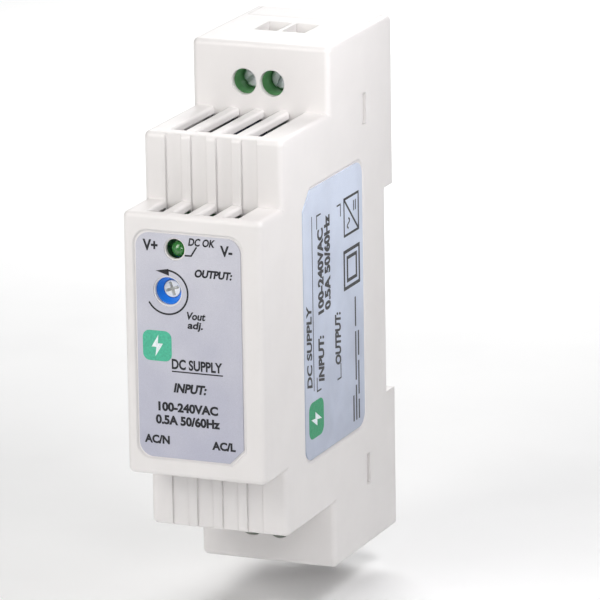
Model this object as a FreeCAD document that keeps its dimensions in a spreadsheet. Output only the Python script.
"""DIN rail power supply: a stepped plastic housing that clips on a 35 mm top-hat rail.

Every piece is drawn in the housing's frame: X to the right, Y from the front face to the
back, Z up from mid-height. Its Placement then moves it to the part's frame, whose origin is
the point of the rail seat that the middle of the rail touches. Sizes are in millimetres.
"""
import FreeCAD, Part
import os
import re

import Sketcher
from FreeCAD import Rotation, Vector

DIMENSIONS = {
    # housing: three stepped blocks, the front one lowest
    "width": 25.0, "depth": 57.5, "height": 91.0, "middle_height": 68.0, "front_height": 45.0,
    "step_one": 9.25, "step_two": 29.95, "seam": 50.5,
    "wall": 1.7, "side_wall": 1.5, "edge_round": 1.0, "gap": 0.05, "overlap": 0.2,
    "collar_wall": 0.8, "rib_inner": 9.3, "rib_low": 24.6, "rib_high": 25.8, "rib_long": 8.0,
    # the notch that takes the rail
    "rail_center": -1.5, "notch_depth": 3.8, "notch_top": 16.0, "notch_bottom": 20.4,
    # vents
    "vent_width": 2.85, "vent_pitch": 4.55, "vent_center": -0.35, "vent_recess": 0.35,
    "vent_front": 1.4, "vent_inset": 2.4, "vent_wall": 1.3, "vent_round": 0.5,
    # labels and the two holes in the front one
    "label_left": -10.2, "label_right": 8.6, "label_top": 19.2, "label_bottom": -19.2,
    "label_corner": 2.5, "label_recess": 0.3, "label_thick": 0.2, "label_margin": 0.3,
    "label_lip": 0.26, "label_ring": 0.5, "side_label_front": 17.7, "side_label_rear": 44.0,
    "side_label_top": 23.1, "side_label_bottom": -23.4, "side_label_corner": 3.2,
    "led_hole_x": -3.15, "led_hole_z": 16.7, "led_hole": 3.4,
    "led_x": -3.0, "led_z": 16.4, "led_body": 3.0, "led_flange": 3.8, "led_tip": 0.7,
    "led_length": 5.2, "led_lead": 0.5, "led_bend": 2.0, "lead_pitch": 2.54,
    "trimmer_x": -4.55, "trimmer_z": 9.4, "trimmer_hole": 4.75, "trimmer_size": 6.7,
    "trimmer_front": 1.0, "trimmer_depth": 4.8, "trimmer_pin": 0.6, "trimmer_pitch": 4.8,
    "rotor_size": 2.9, "rotor_front": 2.0, "rotor_rear": 3.6, "rotor_bore": 3.1, "rotor_cone": 4.4,
    "rotor_slot": 0.5, "rotor_slot_deep": 1.1, "rotor_slot_share": 0.82, "sight_wall": 0.9,
    "sight_room": 0.3,
    # two-pole rising-clamp terminals
    "pole_pitch": 5.08, "pole_center": -0.5, "screw_z": 38.6, "access_hole": 4.5, "access_low": 38.8,
    "access_wall": 1.2, "mouth_wide": 4.8, "mouth_deep": 1.6,
    "window_front": 39.4, "window_rear": 46.3, "throat_front": 41.0, "throat_rear": 45.4,
    "cell_width": 4.3, "terminal_width": 10.7, "terminal_front": 31.3,
    "terminal_inner": 34.4, "terminal_outer": 41.4, "clamp_travel": 3.0,
    "clamp_width": 4.0, "clamp_inner": 36.6, "clamp_outer": 40.6, "clamp_front": 38.5,
    "clamp_rear": 46.3, "clamp_wall": 0.5, "clamp_nut": 1.2, "clamp_floor": 0.8, "clamp_room": 0.2,
    "screw_front": 34.0, "screw_head": 3.7, "screw_head_high": 1.2, "screw_thread": 2.6,
    "screw_chamfer": 0.3, "screw_point": 0.5, "screw_slot": 0.7, "screw_slot_deep": 0.8,
    "screw_bore": 4.1, "bar_front": 41.0, "bar_thick": 0.8, "bar_width": 2.6,
    # boards
    "board_front": 47.6, "board_thick": 1.6, "board_width": 19.6, "board_height": 86.6,
    "lead": 0.8, "drill": 1.0, "solder_high": 0.9, "solder_wide": 1.9, "sheet_front": 50.25,
    "sheet_thick": 0.25, "sheet_width": 19.0, "sheet_height": 82.6, "control_left": -9.2,
    "control_thick": 1.2, "control_front": 2.2, "control_low": -6.0, "control_high": 19.2,
    "tab_wide": 3.0, "tab_low": -2.5, "tab_high": 15.5, "tab_slot": 3.2, "tab_out": 0.4,
    # rear base, latch and spring
    "base_front": 50.9, "base_side": 10.95, "hook_reach": 2.6, "hook_front": 54.9,
    "hook_width": 14.0, "snap_z": 31.8, "snap_high": 5.4, "snap_front": 44.4, "snap_wide": 1.6,
    "snap_arm": 0.85, "snap_short": 0.5, "post_inner": 7.6, "post_outer": 9.4, "post_low": 41.8,
    "post_high": 43.2, "relief_floor": 1.6,
    "latch_front": 53.3, "latch_flange": 1.9, "latch_wide": 12.0, "latch_narrow": 8.0,
    "latch_rear": 57.3, "latch_top": -16.8, "latch_shoulder": -20.6, "latch_foot": -48.0,
    "latch_fit": 0.15, "window_top": -26.0, "seat_top": -37.0, "seat_thick": 1.5,
    "latch_window": 3.8, "driver_wide": 4.4, "driver_low": 0.9, "driver_high": 2.3,
    "spring_coil": 3.4, "spring_wire": 0.45, "spring_turns": 7,
}

doc = FreeCAD.newDocument("din_rail_power_supply")
sheet = doc.addObject("Spreadsheet::Sheet", "Dims")
for row, (alias, value) in enumerate(DIMENSIONS.items(), start=1):
    sheet.set(f"A{row}", alias)
    sheet.set(f"B{row}", str(value))
    sheet.setAlias(f"B{row}", alias)
doc.recompute()

ALIAS = re.compile(r"[a-z]\w*")
AXES = ("x", "y", "z")
ALONG = {"x": Rotation(Vector(0, 1, 0), 90), "y": Rotation(Vector(1, 0, 0), -90), "z": Rotation()}
STANDING = Rotation(Vector(1, 0, 0), 90)
SMALL = 0.01
subparts = {}
board_leads = []


# ---- helpers: formulas are text in the sheet's aliases ---------------------------------

def formula(text):
    """The text with each alias named as a cell of the sheet."""
    def cell(match):
        return "Dims." + match.group() if match.group() in DIMENSIONS else match.group()
    return ALIAS.sub(cell, str(text))


def number(text):
    """What a formula comes to now, in millimetres."""
    value = sheet.evalExpression(formula(text))
    return float(getattr(value, "Value", value))


def bind(obj, field, text):
    obj.setExpression(field, formula(text))


def about(centre, size):
    """The low and high formulas of a span about its centre."""
    return f"({centre}) - ({size})/2", f"({centre}) + ({size})/2"


def upward(side, low, high):
    """A span above the middle or, where side is -1, its mirror image below it."""
    return (low, high) if side > 0 else (f"-({high})", f"-({low})")


def block(name, x, y, z):
    """A box between a low and a high formula on each axis."""
    box = doc.addObject("Part::Box", name)
    for axis, size, (low, high) in zip(AXES, ("Length", "Width", "Height"), (x, y, z)):
        bind(box, "Placement.Base." + axis, low)
        bind(box, size, f"({high}) - ({low})")
    return box


def rod(name, axis, centre, span, diameter, tip=None):
    """A cylinder along one axis, or a cone where its far end has another diameter."""
    low, high = span
    solid = doc.addObject("Part::Cone" if tip else "Part::Cylinder", name)
    solid.Placement.Rotation = ALONG[axis]
    places = dict(zip([other for other in AXES if other != axis], centre))
    places[axis] = low
    for letter, place in places.items():
        bind(solid, "Placement.Base." + letter, place)
    bind(solid, "Height", f"({high}) - ({low})")
    if tip:
        bind(solid, "Radius1", f"({diameter})/2")
        bind(solid, "Radius2", f"({tip})/2")
    else:
        bind(solid, "Radius", f"({diameter})/2")
    return solid


def fuse(name, shapes):
    whole = doc.addObject("Part::MultiFuse", name)
    whole.Shapes = shapes
    whole.Refine = True
    return whole


def group(name, shapes):
    whole = doc.addObject("Part::Compound", name)
    whole.Links = shapes
    return whole


def cut(name, base, tools):
    """The base without the tools."""
    result = doc.addObject("Part::Cut", name)
    result.Base = base
    result.Tool = tools[0] if len(tools) == 1 else group(name + "_tools", tools)
    result.Refine = True
    return result


def edges_where(shape, wanted):
    """Numbers, from 1, of the edges whose middle and direction pass the test."""
    chosen = []
    for index, edge in enumerate(shape.Edges, start=1):
        ends = [vertex.Point for vertex in edge.Vertexes]
        along = (ends[-1] - ends[0]) if len(ends) > 1 else Vector()
        if wanted(edge.CenterOfMass, along):
            chosen.append(index)
    return chosen


def rounded(name, base, radius, wanted):
    """The base with some of its edges rounded."""
    doc.recompute()
    result = doc.addObject("Part::Fillet", name)
    result.Base = base
    size = number(radius)
    result.Edges = [(index, size, size) for index in edges_where(base.Shape, wanted)]
    return result


def bevelled(name, base, size, wanted):
    """The base with some of its edges cut off at 45 degrees."""
    doc.recompute()
    result = doc.addObject("Part::Chamfer", name)
    result.Base = base
    cut_off = number(size)
    result.Edges = [(index, cut_off, cut_off) for index in edges_where(base.Shape, wanted)]
    return result


def new_body(name):
    return doc.addObject("PartDesign::Body", name)


def sketch_on(body, name, role, offset="0"):
    """An empty sketch on one of the body's origin planes, moved along the plane's normal."""
    sketch = body.newObject("Sketcher::SketchObject", name)
    plane = next(item for item in body.Origin.OriginFeatures if item.Role == role)
    sketch.AttachmentSupport = (plane, [""])
    sketch.MapMode = "FlatFace"
    bind(sketch, "AttachmentOffset.Base.z", offset)
    return sketch


def draw_polygon(sketch, points):
    """A closed outline whose corners are held by formulas."""
    corners = [Vector(number(u), number(v), 0) for u, v in points]
    first = sketch.GeometryCount
    count = len(corners)
    for index, corner in enumerate(corners):
        sketch.addGeometry(Part.LineSegment(corner, corners[(index + 1) % count]), False)
    for index in range(count):
        following = first + (index + 1) % count
        sketch.addConstraint(Sketcher.Constraint("Coincident", first + index, 2, following, 1))
    for index, (point, corner) in enumerate(zip(points, corners)):
        for kind, text, value in zip(("DistanceX", "DistanceY"), point, corner):
            held = Sketcher.Constraint(kind, -1, 1, first + index, 1, value)
            bind(sketch, f"Constraints[{sketch.addConstraint(held)}]", text)


def rectangle(u, v):
    """The corners of a rectangle from its two spans."""
    return [(u[0], v[0]), (u[1], v[0]), (u[1], v[1]), (u[0], v[1])]


def pad(body, sketch, length, reverse=False):
    feature = body.newObject("PartDesign::Pad", sketch.Name + "_pad")
    feature.Profile = sketch
    feature.Reversed = reverse
    bind(feature, "Length", length)
    return feature


def pocket(body, sketch, length, reverse=False, both=False):
    """A cut along the sketch's normal; it has to take something away."""
    doc.recompute()
    before = body.Shape.Volume
    feature = body.newObject("PartDesign::Pocket", sketch.Name + "_pocket")
    feature.Profile = sketch
    feature.Reversed = reverse
    if both:
        feature.SideType = "Symmetric"
    bind(feature, "Length", length)
    doc.recompute()
    if body.Shape.Volume > before - SMALL:
        raise RuntimeError(feature.Name + " cuts nothing")
    return feature


def revolve(body, sketch):
    feature = body.newObject("PartDesign::Revolution", sketch.Name + "_turned")
    feature.Profile = sketch
    feature.ReferenceAxis = (sketch, ["V_Axis"])
    feature.Angle = 360
    return feature


def keep(label, piece, x="0", y="0", z="0"):
    """Name a finished sub-part and move it from the housing's frame to the part's frame."""
    piece.Label = label
    bind(piece, "Placement.Base.x", x)
    bind(piece, "Placement.Base.y", f"({y}) + notch_depth - depth")
    bind(piece, "Placement.Base.z", f"({z}) - rail_center")
    subparts[label] = piece
    return piece


def keep_standing(label, piece, x, z):
    """Stand a component, drawn with +Z away from the board, on the main board."""
    piece.Placement.Rotation = STANDING
    return keep(label, piece, x, "board_front", z)


def legs(name, places, x, z, into="1.0"):
    """Leads from inside a component through the main board, noted for drilling and solder."""
    solids = []
    for index, (along, up) in enumerate(places):
        span = ("-board_thick", into)
        solids.append(rod(f"{name}_leg_{index}", "z", (along, up), span, "lead"))
        board_leads.append((f"({x}) + ({along})", f"({z}) + ({up})"))
    return solids


# ---- housing -------------------------------------------------------------------------

def label_tool(name, plane, spans, chamfer_low, thick, offset, reverse, grow="0"):
    """A flat plate with three rounded corners and one cut off at 45 degrees."""
    (left, right), (low, high), corner = spans
    left, low = f"({left}) - ({grow})", f"({low}) - ({grow})"
    right, high = f"({right}) + ({grow})", f"({high}) + ({grow})"
    if chamfer_low:
        points = [(left, low), (f"({right}) - {corner}", low), (right, f"({low}) + {corner}"),
                  (right, high), (left, high)]
    else:
        points = [(left, low), (right, low), (right, high),
                  (f"({left}) + {corner}", high), (left, f"({high}) - {corner}")]
    body = new_body(name)
    sketch = sketch_on(body, name + "_outline", plane, offset)
    draw_polygon(sketch, points)
    plate = pad(body, sketch, thick, reverse)
    doc.recompute()
    square = [(left, low), (left, high), (right, high)] if chamfer_low else \
        [(left, low), (right, low), (right, high)]
    sides = ("x", "z") if plane == "XZ_Plane" else ("y", "z")
    corners = [(number(u), number(v)) for u, v in square]

    def at_corner(middle, along):
        here = [getattr(middle, side) for side in sides]
        return any(abs(here[0] - u) + abs(here[1] - v) < SMALL for u, v in corners)
    fillet = body.newObject("PartDesign::Fillet", name + "_corners")
    fillet.Base = (plate, [f"Edge{index}" for index in edges_where(plate.Shape, at_corner)])
    bind(fillet, "Radius", "label_corner")
    return body


FRONT_LABEL = (("label_left", "label_right"), ("label_bottom", "label_top"), "label_corner")
SIDE_LABEL = (("side_label_front", "side_label_rear"), ("side_label_bottom", "side_label_top"),
              "side_label_corner")
SIGHT_HOLES = (("led", "led_hole_x", "led_hole_z", "led_hole"),
               ("trimmer", "trimmer_x", "trimmer_z", "trimmer_hole"))


def outer_block(name, front, high):
    """One step of the housing, rounded on every edge but those of its open back."""
    box = block(name, about("0", "width"), (front, "depth"), about("0", high))
    rear = number("depth")

    def not_rear(middle, along):
        return middle.y < rear - SMALL
    return rounded(name + "_rounded", box, "edge_round", not_rear)


def cavity(name, front, high):
    inside = about("0", "width - 2*side_wall")
    return block(name, inside, (f"({front}) + wall", "depth + 1"), about("0", f"({high}) - 2*wall"))


def soft_edge(name, left, span, side, top):
    """What rounds the upper edge of a slot's left wall, along the slot."""
    corner = block(name + "_corner", (f"({left}) - vent_round", left), span,
                   upward(side, f"({top}) - vent_round", f"({top}) + 1"))
    middle = (f"({left}) - vent_round", f"{side}*(({top}) - vent_round)")
    return cut(name + "_soft", corner, [rod(name + "_nose", "y", middle, span, "2*vent_round")])


def vent_cuts():
    """Shallow channels down the middle step, and the open slots they run into."""
    cuts = []
    slots = (("front", ("vent_front", "step_one"), "step_one + vent_recess", "front_height/2"),
             ("middle", ("step_one + vent_inset", "step_two"), "step_two", "middle_height/2"))
    for side in (1, -1):
        end = "upper" if side > 0 else "lower"
        for index in range(4):
            left, right = about(f"vent_center + {index - 1.5}*vent_pitch", "vent_width")
            name = f"vent_{index}_{end}"
            cuts.append(block(name + "_channel", (left, right), ("step_one - 1", "step_one + vent_recess"),
                              upward(side, "front_height/2", "middle_height/2 + 1")))
            for place, span, rear, top in slots:
                through = upward(side, f"{top} - wall - 1", f"{top} + 1")
                cuts.append(block(f"{name}_{place}", (left, right), (span[0], rear), through))
                cuts.append(soft_edge(f"{name}_{place}", left, span, side, top))
        for place, span, rear, top in slots:
            under = upward(side, f"{top} - wall - 1", f"{top} - vent_wall")
            cuts.append(block(f"vent_thinning_{place}_{end}", about("vent_center", "4*vent_pitch"),
                              (f"{span[0]} + wall", span[1]), under))
    return cuts


def pole(index):
    """X of a terminal's pole, 0 on the left and 1 on the right."""
    return f"pole_center + {index - 0.5}*pole_pitch"


def wire_funnel(name, index, side):
    """A wire's way in: wide at the housing's face, narrower where it meets the clamp."""
    body = new_body(name)
    sketch = sketch_on(body, name + "_side", "YZ_Plane", pole(index))
    top, bottom = f"{side}*(height/2 + 0.01)", f"{side}*(terminal_outer - 1)"
    beyond = f"{side}*(height/2 + 1)"
    draw_polygon(sketch, [("throat_front", bottom), ("throat_rear", bottom), ("window_rear", top),
                          ("window_rear", beyond), ("window_front", beyond), ("window_front", top)])
    feature = pad(body, sketch, "cell_width")
    feature.SideType = "Symmetric"
    return body


def make_shell():
    blocks = [outer_block("front_step", "0", "front_height"),
              outer_block("middle_step", "step_one", "middle_height"),
              outer_block("rear_step", "step_two", "height")]
    hollow = [cavity("front_hollow", "0", "front_height"),
              cavity("middle_hollow", "step_one", "middle_height"),
              cavity("rear_hollow", "step_two", "height"),
              block("back_opening", about("0", "width - 2*side_wall"), ("seam", "depth + 1"),
                    about("0", "height + 2"))]
    shell = cut("hollow_steps", fuse("steps", blocks), [fuse("hollow", hollow)])
    inner = []
    for side in (1, -1):
        end = "upper" if side > 0 else "lower"
        inner.append(block(f"collar_{end}", about("pole_center", "terminal_width"),
                           ("window_front - collar_wall", "window_rear + collar_wall"),
                           upward(side, "terminal_outer + 3*gap", "height/2 - wall + overlap")))
        for hand, word in ((-1, "left"), (1, "right")):
            reach = upward(hand, "rib_inner", "width/2 - side_wall + overlap")
            inner.append(block(f"rib_{end}_{word}", reach, ("board_front - rib_long", "board_front - gap"),
                               upward(side, "rib_low", "rib_high")))
    tools = vent_cuts()
    for name, x, z, size in SIGHT_HOLES:
        tools.append(rod(name + "_sight", "y", (x, z), ("-1", "wall + 1"), size))
    room = "trimmer_size + 2*sight_room"
    tools.append(block("trimmer_room", about("trimmer_x", room), ("sight_wall", "wall + 1"),
                       about("trimmer_z", room)))
    tools.append(rod("led_room", "y", ("led_x", "led_z"), ("sight_wall", "wall + 1"),
                     "led_flange + 2*sight_room"))
    for side in (1, -1):
        end = "upper" if side > 0 else "lower"
        tools.append(block(f"terminal_room_{end}", about("pole_center", "terminal_width + 4*gap"),
                           ("step_two + access_wall", "step_two + wall + 1"),
                           upward(side, "terminal_inner - 2*gap", "terminal_outer + 2*gap")))
        access_z = "screw_z" if side > 0 else "-access_low"
        for index in (0, 1):
            tools.append(rod(f"access_{end}_{index}", "y", (pole(index), access_z),
                             ("step_two - 1", "step_two + wall"), "access_hole"))
            tools.append(wire_funnel(f"funnel_{end}_{index}", index, side))
        tools.append(block(f"snap_window_{end}", about("0", "width + 2"),
                           ("snap_front", "snap_front + snap_wide"), about(f"{side}*snap_z", "snap_high")))
    tools.append(block("rail_notch", about("0", "width + 2"), ("depth - notch_depth", "depth + 1"),
                       ("-notch_bottom", "notch_top")))
    whole = cut("shell_pierced", fuse("ribbed_steps", [shell] + inner), tools)
    keep("housing_shell", recess_labels(whole))


def recess_labels(shell):
    """The shell with a sunk field for each label, its rim cut off at 45 degrees."""
    fields = [label_tool("front_label_recess", "XZ_Plane", FRONT_LABEL, True, "label_recess + 1",
                         "1", True, "label_margin"),
              label_tool("side_label_recess", "YZ_Plane", SIDE_LABEL, False, "label_recess + 1",
                         "width/2 - label_recess", False, "label_margin")]
    half, front_top, side_top = number("width/2"), number("label_top + 1"), number("side_label_top + 1")
    left, right = number("label_left - 1"), number("label_right + 1")
    near, far = number("side_label_front - 1"), number("side_label_rear + 1")

    def on_rim(middle, along):
        front = abs(middle.y) < SMALL and abs(middle.z) < front_top and left < middle.x < right
        side = abs(middle.x - half) < SMALL and abs(middle.z) < side_top and near < middle.y < far
        return front or side
    return bevelled("shell_rimmed", cut("shell_recessed", shell, fields), "label_lip", on_rim)


def make_labels():
    plate = label_tool("front_plate", "XZ_Plane", FRONT_LABEL, True, "label_thick",
                       "label_thick - label_recess", True)
    holes = [rod(name + "_label_hole", "y", (x, z), ("-1", "1"), f"{size} + label_ring")
             for name, x, z, size in SIGHT_HOLES]
    keep("front_label", cut("front_label_cut", plate, holes))
    keep("side_label", label_tool("side_plate", "YZ_Plane", SIDE_LABEL, False, "label_thick",
                                  "width/2 - label_recess", False))


# ---- terminals -----------------------------------------------------------------------

def make_terminal(label, side):
    """The green block: a bore for each screw and a well that each clamp slides in."""
    x = about("pole_center", "terminal_width")
    solid = block(label + "_block", x, ("terminal_front", "board_front"),
                  upward(side, "terminal_inner", "terminal_outer"))
    tools = []
    for index in (0, 1):
        name = f"{label}_{index}"
        cell = about(pole(index), "cell_width")
        place = (pole(index), f"{side}*screw_z")
        tools.append(rod(name + "_mouth", "y", place, ("terminal_front", "terminal_front + mouth_deep"),
                         "mouth_wide", tip="screw_bore"))
        tools.append(rod(name + "_bore", "y", place, ("terminal_front - 1", "clamp_front"), "screw_bore"))
        tools.append(block(name + "_well", cell,
                           ("clamp_front - clamp_travel - clamp_room", "clamp_rear + clamp_room"),
                           upward(side, "clamp_inner - clamp_room", "clamp_outer + clamp_room")))
        tools.append(block(name + "_throat", cell, ("throat_front", "throat_rear"),
                           upward(side, "clamp_outer", "terminal_outer + 1")))
        tools.append(block(name + "_bar_slot", about(pole(index), "bar_width + 4*gap"),
                           ("bar_front - 2*gap", "board_front + 1"),
                           upward(side, "terminal_inner + 6*gap", "clamp_inner")))
    keep(label, cut(label + "_cut", solid, tools))


def make_contacts(label, side):
    """The fixed bars that the wires are clamped against, each with its leg into the board."""
    bars = []
    for index in (0, 1):
        name = f"{label}_{index}"
        x = about(pole(index), "bar_width")
        leg = "terminal_inner + 8*gap"
        flat = block(name + "_flat", x, ("bar_front", "bar_front + bar_thick"),
                     upward(side, leg, "clamp_outer - 4*gap"))
        down = block(name + "_down", x, ("bar_front", "board_front - gap"),
                     upward(side, leg, f"{leg} + bar_thick"))
        middle = f"{side}*({leg} + bar_thick/2)"
        pin = rod(name + "_pin", "y", (pole(index), middle),
                  ("board_front - 1", "board_front + board_thick"), "lead")
        board_leads.append((pole(index), middle))
        bars.append(fuse(name + "_bar", [flat, down, pin]))
    keep(label, group(label + "_bars", bars))


def make_screw(label, x, z, turn):
    """A slotted screw, head to the front, turned from upright, its tip clear of the fixed bar."""
    body = new_body(label + "_body")
    sketch = sketch_on(body, label + "_half", "XY_Plane")
    neck = "screw_front + screw_head_high"
    tip = "bar_front - gap"
    draw_polygon(sketch, [("0", "screw_front"), ("screw_head/2 - screw_chamfer", "screw_front"),
                          ("screw_head/2", "screw_front + screw_chamfer"), ("screw_head/2", neck),
                          ("screw_thread/2", neck), ("screw_thread/2", f"{tip} - screw_point"),
                          ("screw_thread/2 - screw_point", tip), ("0", tip)])
    revolve(body, sketch)
    slot = sketch_on(body, label + "_slot", "XZ_Plane", "-screw_front")
    draw_polygon(slot, rectangle(about("0", "screw_slot"), about("0", "screw_head + 1")))
    pocket(body, slot, "2*screw_slot_deep", both=True)
    body.Placement.Rotation = Rotation(Vector(0, 1, 0), turn)
    keep(label, body, x=x, z=z)


def make_clamp(label, x, z, side):
    """The cage round the wire: threaded nut wall in front, floor behind, open to the wire."""
    outer = block(label + "_outer", about(x, "clamp_width"), ("clamp_front", "clamp_rear"),
                  upward(side, "clamp_inner", "clamp_outer"))
    inner = block(label + "_inner", about(x, "clamp_width - 2*clamp_wall"),
                  ("clamp_front + clamp_nut", "clamp_rear - clamp_floor"),
                  upward(side, "clamp_inner - 1", "clamp_outer + 1"))
    thread = rod(label + "_thread", "y", (x, z), ("clamp_front - 1", "clamp_front + clamp_nut + 1"),
                 "screw_thread + 6*gap")
    keep(label, cut(label + "_cut", outer, [inner, thread]))


def make_terminals():
    ends = (("output", 1, (("plus", 56), ("minus", 22))),
            ("input", -1, (("neutral", -35), ("live", 12))))
    for end, side, screws in ends:
        make_terminal(f"{end}_terminal", side)
        make_contacts(f"{end}_contacts", side)
        for index, (name, turn) in enumerate(screws):
            z = f"{side}*screw_z"
            make_screw(f"{end}_screw_{name}", pole(index), z, turn)
            make_clamp(f"{end}_clamp_{name}", pole(index), z, side)


# ---- rear base, latch, spring ----------------------------------------------------------

def make_base():
    side = about("0", "2*base_side")
    rear = ("base_front", "depth")
    solids = [block("seat_plate", side, ("base_front", "depth - notch_depth"),
                    ("-notch_bottom - 1", "notch_top + 1")),
              block("upper_block", side, rear, ("notch_top", "height/2")),
              block("lower_block", side, rear, ("-height/2", "-notch_bottom")),
              block("upper_strip", side, ("seam + gap", "depth"), ("height/2 - wall", "height/2")),
              block("lower_strip", side, ("seam + gap", "depth"), ("-height/2", "-height/2 + wall")),
              block("rail_hook", about("0", "hook_width"), ("hook_front", "depth"),
                    ("notch_top - hook_reach", "notch_top + 1"))]
    for end in (1, -1):
        for hand in (1, -1):
            name = f"{'upper' if end > 0 else 'lower'}_{'right' if hand > 0 else 'left'}"
            high = about(f"{end}*snap_z", "snap_high - 8*gap")
            solids.append(block(f"snap_arm_{name}", upward(hand, "base_side - snap_arm", "base_side"),
                                ("snap_front - 8*gap", "base_front + 1"), high))
            reach = upward(hand, "base_side - overlap", "width/2 - snap_short")
            solids.append(block(f"snap_catch_{name}", reach,
                                ("snap_front + 2*gap", "snap_front + snap_wide - 2*gap"), high))
            solids.append(block(f"board_post_{name}", upward(hand, "post_inner", "post_outer"),
                                ("board_front + board_thick + gap", "base_front + overlap"),
                                upward(end, "post_low", "post_high")))
    tools = [block("channel_wide", about("0", "latch_wide + 2*latch_fit"),
                   ("latch_front - latch_fit", "latch_front + latch_flange + latch_fit"),
                   ("-height/2 - 1", "-notch_bottom + 1")),
             block("channel_narrow", about("0", "latch_narrow + 2*latch_fit"),
                   ("latch_front", "depth + 1"), ("-height/2 - 1", "-notch_bottom + 1"))]
    pockets = (("-9.5", "-3.7"), ("-2.9", "2.9"), ("3.7", "9.5"))
    for index, x in enumerate(pockets):
        tools.append(block(f"relief_{index}", x, ("base_front + relief_floor", "depth + 1"),
                           ("notch_top + 2*relief_floor", "height/2 - wall")))
    for index, x in enumerate((("-9.7", "-7.5"), ("7.5", "9.7"))):
        tools.append(block(f"lower_relief_{index}", x, ("base_front + relief_floor", "depth + 1"),
                           ("-height/2 + wall", "-notch_bottom - relief_floor")))
    seat = block("spring_seat", about("0", "latch_window - 8*gap"),
                 ("latch_front - 1", "latch_rear - 8*gap"), ("seat_top - seat_thick", "seat_top"))
    hollowed = cut("base_cut", fuse("base_solids", solids), tools)
    keep("rear_base", fuse("base_whole", [hollowed, seat]))


def make_latch():
    """A T-section slider: its lip holds the rail's lower edge, its foot takes a screwdriver."""
    body = new_body("latch_body")
    front, step = "latch_front", "latch_front + latch_flange"
    flange = sketch_on(body, "latch_flange_outline", "XZ_Plane", f"-({front})")
    draw_polygon(flange, rectangle(about("0", "latch_wide"), ("latch_foot", "latch_shoulder")))
    pad(body, flange, "latch_flange", reverse=True)
    spine = sketch_on(body, "latch_spine_outline", "YZ_Plane")
    draw_polygon(spine, [(f"{step} - 0.1", "latch_foot"), ("latch_rear", "latch_foot"),
                         ("latch_rear", "latch_top - 1.8"), (f"{step} + 0.6", "latch_top"),
                         (f"{step} - 0.1", "latch_top")])
    feature = pad(body, spine, "latch_narrow")
    feature.SideType = "Symmetric"
    driver = ("latch_foot + driver_low", "latch_foot + driver_high")
    openings = (("latch_spring_window", "latch_window", ("seat_top - seat_thick - 0.1", "window_top")),
                ("latch_driver_slot", "driver_wide", driver))
    for name, wide, high in openings:
        opening = sketch_on(body, name, "XZ_Plane", "-latch_front + 1")
        draw_polygon(opening, rectangle(about("0", wide), high))
        pocket(body, opening, "latch_rear - latch_front + 2", reverse=False)
    keep("din_latch", body)


def make_spring():
    """A compression spring between the base's seat and the top of the latch's window."""
    helix = doc.addObject("Part::Helix", "spring_path")
    bind(helix, "Radius", "(spring_coil - spring_wire)/2")
    bind(helix, "Height", "window_top - seat_top - spring_wire - 2*gap")
    bind(helix, "Pitch", "(window_top - seat_top - spring_wire - 2*gap)/spring_turns")
    wire = doc.addObject("Part::Circle", "spring_section")
    bind(wire, "Radius", "spring_wire/2")
    wire.Placement.Rotation = Rotation(Vector(1, 0, 0), 90)
    bind(wire, "Placement.Base.x", "(spring_coil - spring_wire)/2")
    doc.recompute()
    coil = doc.addObject("Part::Sweep", "spring_coils")
    coil.Sections = [wire]
    coil.Spine = (helix, ["Edge1"])
    coil.Solid = True
    coil.Frenet = True
    keep("latch_spring", coil, y="latch_front + spring_coil/2 + 0.1",
         z="seat_top + spring_wire/2 + gap")


# ---- components that stand on the main board --------------------------------------------
# Each is drawn with X across, Y up the board and Z away from it, then stood on the board.

def standing_block(name, size, low, high, centre=("0", "0")):
    """A box about a centre, from one distance off the board to another."""
    return block(name, about(centre[0], size[0]), about(centre[1], size[1]), (low, high))


def component(label, solids, place, leads, into="1.2"):
    """Fuse a component with its leads and stand it at its place."""
    whole = fuse(label + "_whole", solids + legs(label, leads, *place, into=into))
    keep_standing(label, whole, *place)


def turned(name, outline):
    """A body turned about its own Z from half an outline of radius and distance."""
    body = new_body(name)
    sketch = sketch_on(body, name + "_half", "XZ_Plane")
    draw_polygon(sketch, outline)
    revolve(body, sketch)
    return body


def can(name, radius, high):
    """An electrolytic capacitor: a crimped groove near its foot, a shallow dish on top."""
    low = 0.3
    groove = [(radius, low + 1.8), (radius - 0.5, low + 2.4), (radius, low + 3.0)]
    top = [(radius, high - 0.5), (radius - 0.5, high), (radius - 1.2, high - 0.3), (0, high - 0.3)]
    return turned(name, [(0, low), (radius - 0.4, low), (radius, low + 0.5)] + groove + top)


def disc(name, radius, thick, low):
    """A dipped disc standing on its edge, with its rim rounded off."""
    middle = ("0", f"{low} + {radius}")
    waist = rod(name + "_waist", "x", middle, about("0", thick), 2 * (radius - 0.3 * thick))
    rim = rod(name + "_rim", "x", middle, about("0", 0.55 * thick), 2 * radius)
    return [waist, rim]


def pair(pitch, axis="x"):
    """Two lead places about the component's centre."""
    half = pitch / 2
    return [(-half, 0), (half, 0)] if axis == "x" else [(0, -half), (0, half)]


def two_rows(across, pitch, count):
    """Lead places down both sides of a package."""
    return [(side * across / 2, (index - (count - 1) / 2) * pitch)
            for side in (-1, 1) for index in range(count)]


def drum_choke(label, place, radius, high):
    """A ferrite bobbin with two flanges, and copper wire wound between them."""
    flange, hub, foot = 1.6, radius - 2.0, 0.4
    outline = [(0, foot), (radius, foot), (radius, foot + flange), (hub, foot + flange),
               (hub, high - flange), (radius, high - flange), (radius, high), (0, high)]
    component(label + "_core", [turned(label + "_drum", outline)], place, pair(5.0))
    span = (foot + flange + 0.05, high - flange - 0.05)
    wire = rod(label + "_wire", "z", ("0", "0"), span, 2 * radius - 0.9)
    hole = rod(label + "_wire_hole", "z", ("0", "0"), ("0", high), 2 * hub + 0.1)
    keep_standing(label + "_winding", cut(label + "_wire_cut", wire, [hole]), *place)


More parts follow.
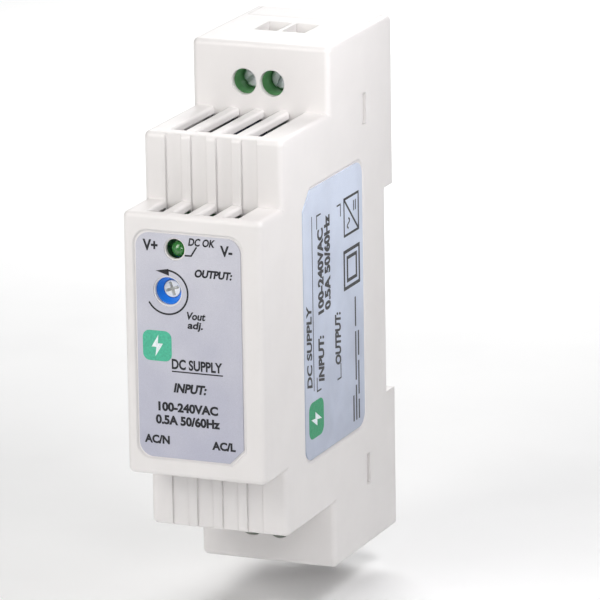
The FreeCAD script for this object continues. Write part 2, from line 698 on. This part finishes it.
def make_input_parts():
    body = standing_block("fuse_case", (4.0, 8.2), 0.5, 7.6)
    component("fuse", [body], ("7.5", "-37.9"), pair(5.08, "y"))
    component("inrush_thermistor", disc("thermistor_disc", 4.0, 3.2, 1.8), ("-7.9", "-38.0"),
              pair(5.0, "y"), into="3.0")
    body = standing_block("x_capacitor_case", (12.6, 5.4), 0.4, 11.4)
    component("x_capacitor", [body], ("-3.1", "-29.1"), pair(10.0))
    component("varistor", disc("varistor_disc", 4.3, 3.8, 1.8), ("6.8", "-28.8"), pair(5.0, "y"),
              into="3.0")
    drum_choke("input_choke", ("-5.2", "-20.6"), 4.0, 12.0)
    component("bulk_capacitor", [can("bulk_can", 6.25, 21.5)], ("4.2", "-15.9"), pair(5.0))
    body = standing_block("bridge_case", (5.4, 6.6), 0.4, 3.7)
    ends = [standing_block(f"bridge_end_{side}", (0.8, 5.6), 1.8, 2.3, (f"{side}*2.9", "0"))
            for side in (-1, 1)]
    component("bridge_rectifier", [body] + ends, ("-5.7", "-12.2"), two_rows(6.0, 4.6, 2), into="2.0")


def make_transformer():
    place = ("2.4", "0")
    halves = []
    for name, plate, tips in (("rear", (2.6, 5.0), (5.0, 9.98)), ("front", (15.0, 17.4), (10.02, 15.0))):
        solids = [standing_block(f"core_{name}_plate", (16.4, 4.8), *plate)]
        for index, (centre, wide) in enumerate(((-7.05, 2.3), (0, 4.4), (7.05, 2.3))):
            solids.append(standing_block(f"core_{name}_leg_{index}", (wide, 4.8), *tips, (centre, "0")))
        halves.append(fuse(f"core_{name}_half", solids))
    keep_standing("transformer_core", group("core_halves", halves), *place)

    tube = standing_block("bobbin_tube", (6.0, 6.4), 5.3, 14.7)
    flanges = [standing_block(f"bobbin_flange_{name}", (11.4, 14.0), low, low + 0.9)
               for name, low in (("rear", 5.1), ("front", 14.0))]
    rails = [standing_block(f"bobbin_rail_{name}", (14.0, 2.4), 0.5, 6.0, ("0", centre))
             for name, centre in (("lower", -6.4), ("upper", 6.4))]
    hole = standing_block("bobbin_hole", (4.6, 5.0), 5.0, 15.0)
    bobbin = cut("bobbin_cut", fuse("bobbin_solids", [tube] + flanges + rails), [hole])
    pins = [(x, z) for z in (-6.4, 6.4) for x in (-4.5, -1.5, 1.5, 4.5)]
    component("transformer_bobbin", [bobbin], place, pins)

    def upright(middle, along):
        return abs(along.z) > 1
    wound = standing_block("winding_block", (11.0, 12.8), 6.05, 13.95)
    roll = rounded("winding_roll", wound, 2.4, upright)
    inside = standing_block("winding_inside", (6.1, 6.5), 5.0, 15.0)
    keep_standing("transformer_winding", cut("winding_cut", roll, [inside]), *place)


def make_output_parts():
    body = standing_block("optocoupler_case", (4.2, 4.6), 0.4, 3.6)
    component("optocoupler", [body], ("-5.4", "12.4"), two_rows(3.4, 2.54, 2))

    plate = standing_block("heatsink_plate", (12.6, 1.4), 1.0, 24.0)
    fold = standing_block("heatsink_fold", (12.6, 5.4), 22.6, 24.0, ("0", "2.0"))
    hole = rod("heatsink_hole", "y", (-0.3, 17.6), ("-2", "2"), 3.3)
    sink = cut("heatsink_cut", fuse("heatsink_bent", [plate, fold]), [hole])
    component("output_heatsink", [sink], ("4.0", "9.5"), pair(10.0), into="1.4")

    tab = standing_block("rectifier_tab", (10.0, 1.3), 5.0, 20.4, ("0", "-1.6"))
    case = standing_block("rectifier_case", (9.8, 4.4), 5.0, 14.0)
    hole = rod("rectifier_hole", "y", ("0", 17.6), ("-3", "0"), 3.4)
    package = cut("rectifier_cut", fuse("rectifier_package", [tab, case]), [hole])
    component("output_rectifier", [package], ("3.7", "12.45"), [(-2.54, 0), (0, 0), (2.54, 0)], into="6.0")

    shank = rod("rectifier_screw_shank", "y", ("0", 17.6), (-3.4, 2.3), 2.9)
    head = rod("rectifier_screw_head", "y", ("0", 17.6), (2.0, 3.8), 5.4)
    turn = cut("rectifier_screw_slotted", fuse("rectifier_screw_turned", [shank, head]),
               [block("rectifier_screw_slot", about("0", 0.8), (3.0, 5.0), (12, 22))])
    keep_standing("rectifier_screw", turn, "3.7", "9.5")
    nut = doc.addObject("Part::Prism", "rectifier_nut_hexagon")
    nut.Polygon = 6
    bind(nut, "Circumradius", "3.1")
    bind(nut, "Height", "2.2")
    nut.Placement.Rotation = ALONG["y"]
    bind(nut, "Placement.Base.y", "-2.9")
    bind(nut, "Placement.Base.z", "17.6")
    thread = rod("rectifier_nut_thread", "y", ("0", 17.6), (-4, 0), 3.0)
    keep_standing("rectifier_nut", cut("rectifier_nut_cut", nut, [thread]), "3.7", "9.5")

    cans = []
    places = (("6.2", "19.6"), ("-3.6", "20.0"), ("-3.6", "28.2"))
    for index, (x, z) in enumerate(places):
        name = f"output_can_{index}"
        whole = fuse(name + "_whole", [can(name, 4.0, 16.0)] + legs(name, pair(3.5), x, z))
        bind(whole, "Placement.Base.x", x)
        bind(whole, "Placement.Base.y", z)
        cans.append(whole)
    keep_standing("output_capacitors", group("output_cans", cans), "0", "0")
    drum_choke("output_choke", ("5.9", "28.7"), 3.9, 12.0)
    component("y_capacitor", disc("y_disc", 3.8, 3.2, 1.8), ("7.6", "37.9"), pair(5.0, "y"), into="3.0")
    component("preload_resistor", [rod("preload_body", "z", ("0", "0"), (1.0, 10.0), 3.2)],
              ("-8.1", "37.9"), pair(2.0, "y"), into="1.6")


# ---- the two boards, and what the control board carries ----------------------------------

CONTROL_FACE = "control_left + control_thick"
ROTOR_TURN = -20


def make_led():
    middle = ("led_x", "led_z")
    dome = doc.addObject("Part::Sphere", "led_dome")
    bind(dome, "Radius", "led_body/2")
    bind(dome, "Placement.Base.x", "led_x")
    bind(dome, "Placement.Base.y", "led_tip + led_body/2")
    bind(dome, "Placement.Base.z", "led_z")
    foot = "led_tip + led_length"
    solids = [dome, rod("led_barrel", "y", middle, ("led_tip + led_body/2", foot), "led_body"),
              rod("led_rim", "y", middle, (f"{foot} - 1", foot), "led_flange")]
    for side in (-1, 1):
        z = f"led_z + {side}*lead_pitch/2"
        name = f"led_lead_{'low' if side < 0 else 'high'}"
        solids.append(rod(name + "_back", "y", ("led_x", z),
                          (f"{foot} - overlap", f"{foot} + led_bend + led_lead/2"), "led_lead"))
        solids.append(rod(name + "_side", "x", (f"{foot} + led_bend", z),
                          ("control_left - led_lead", "led_x + led_lead/2"), "led_lead"))
    keep("status_led", fuse("led_whole", solids))


def trimmer_pins():
    """Y and Z of the trimmer's three pins on the control board."""
    front, rear = "trimmer_front + trimmer_depth/2", "trimmer_front + trimmer_depth - trimmer_pin"
    return ((front, "trimmer_z - trimmer_pitch/2"), (front, "trimmer_z + trimmer_pitch/2"),
            (rear, "trimmer_z"))


def make_trimmer():
    """The blue case with a dished mouth, and the rotor with a crossed slot in its bore."""
    middle = ("trimmer_x", "trimmer_z")
    case = block("trimmer_case", (CONTROL_FACE + " + gap", "trimmer_x + trimmer_size/2"),
                 ("trimmer_front", "trimmer_front + trimmer_depth"), about("trimmer_z", "trimmer_size"))
    dish = rod("trimmer_dish", "y", middle, ("trimmer_front", "rotor_front"), "rotor_cone",
               tip="rotor_bore")
    bore = rod("trimmer_bore", "y", middle, ("rotor_front - gap", "rotor_rear + 2*gap"), "rotor_bore")
    pins = [rod(f"trimmer_pin_{index}", "x", place, ("control_left - led_lead", CONTROL_FACE + " + 1"),
                "trimmer_pin") for index, place in enumerate(trimmer_pins())]
    keep("trimmer_body", fuse("trimmer_whole", [cut("trimmer_bored", case, [dish, bore])] + pins))

    disc_of_rotor = rod("rotor_disc", "y", ("0", "0"), ("rotor_front", "rotor_rear"), "rotor_size")
    across, narrow = about("0", "rotor_size*rotor_slot_share"), about("0", "rotor_slot")
    slots = [block(f"rotor_slot_{index}", wide, ("rotor_front - 1", "rotor_front + rotor_slot_deep"), high)
             for index, (wide, high) in enumerate(((across, narrow), (narrow, across)))]
    rotor = cut("rotor_cut", disc_of_rotor, slots)
    rotor.Placement.Rotation = Rotation(Vector(0, 1, 0), ROTOR_TURN)
    keep("trimmer_rotor", rotor, x="trimmer_x", z="trimmer_z")


def make_boards():
    name = "main_board"
    board = block(name + "_blank", about("0", "board_width"), ("board_front", "board_front + board_thick"),
                  about("0", "board_height"))
    through = ("board_front - 1", "board_front + board_thick + 1")
    tools = [rod(f"{name}_hole_{index}", "y", place, through, "drill")
             for index, place in enumerate(board_leads)]
    face = ("control_left", CONTROL_FACE)
    tabs = []
    for index, centre in enumerate(("tab_low", "tab_high")):
        slot = (f"{face[0]} - 2*gap", f"{face[1]} + 2*gap")
        tools.append(block(f"{name}_slot_{index}", slot, through, about(centre, "tab_slot")))
        tabs.append(block(f"control_tab_{index}", face,
                          ("board_front - 1", "board_front + board_thick + tab_out"),
                          about(centre, "tab_wide")))
    keep(name, cut(name + "_drilled", board, tools))

    blank = block("control_blank", face, ("control_front", "board_front - gap"),
                  ("control_low", "control_high"))
    across = ("control_left - 1", f"{CONTROL_FACE} + 1")
    bend = "led_tip + led_length + led_bend"
    led_pins = ((bend, "led_z - lead_pitch/2"), (bend, "led_z + lead_pitch/2"))
    small = [rod(f"control_hole_{index}", "x", place, across, "trimmer_pin + 4*gap")
             for index, place in enumerate(led_pins + trimmer_pins())]
    keep("control_board", cut("control_drilled", fuse("control_tabbed", [blank] + tabs), small))

    joints = [rod(f"solder_{index}", "y", place,
                  ("board_front + board_thick", "board_front + board_thick + solder_high"),
                  "solder_wide", tip="lead") for index, place in enumerate(board_leads)]
    keep("solder_joints", group("solder_side", joints))
    blank = block("insulation_blank", ("0", "sheet_width"), ("0", "sheet_thick"), ("0", "sheet_height"))
    keep("insulation_sheet", blank, x="-sheet_width/2", y="sheet_front", z="-sheet_height/2")


def make_control_parts():
    """The switching controller on the inner face, chip parts on the outer one."""
    body = block("switcher_case", (f"{CONTROL_FACE} + 0.1", f"{CONTROL_FACE} + 1.6"), ("31", "35.9"),
                 about("-1.5", "3.9"))
    feet = [block(f"switcher_foot_{side}_{index}", (CONTROL_FACE, f"{CONTROL_FACE} + 0.25"),
                  about(31.55 + 1.27 * index, 0.42), about(f"{side}*2.5 - 1.5", 1.2))
            for side in (-1, 1) for index in range(4)]
    for foot in feet:
        bind(foot, "Length", "0.45")
    keep("switcher_ic", fuse("switcher_whole", [body] + feet))
    sizes = {"smd_resistors": (1.6, 0.8, 0.45, 14.0), "smd_capacitors": (2.0, 1.25, 0.9, 29.0)}
    for label, (long, wide, high, start) in sizes.items():
        chips = [block(f"{label}_{row}_{column}", (f"control_left - {high}", "control_left"),
                       about(start + 3.4 * column, long), about(-3.0 + 3.6 * row, wide))
                 for row in range(6) for column in range(4)]
        keep(label, group(label + "_set", chips))


make_shell()
make_labels()
make_terminals()
make_base()
make_latch()
make_spring()
make_input_parts()
make_transformer()
make_output_parts()
make_led()
make_trimmer()
make_boards()
make_control_parts()


# ---- check and write -------------------------------------------------------------------

def write_parts():
    doc.recompute()
    for obj in doc.Objects:
        if {"Invalid", "Error"} & set(obj.State):
            raise RuntimeError(f"{obj.Name} ({obj.Label}) failed: {obj.State}")
    os.makedirs("parts", exist_ok=True)
    for label, piece in subparts.items():
        if piece.Shape.isNull() or not piece.Shape.isValid() or piece.Shape.Volume < SMALL:
            raise RuntimeError(label + " has no valid shape")
        piece.Shape.exportStep(f"parts/{label}.step")


write_parts()
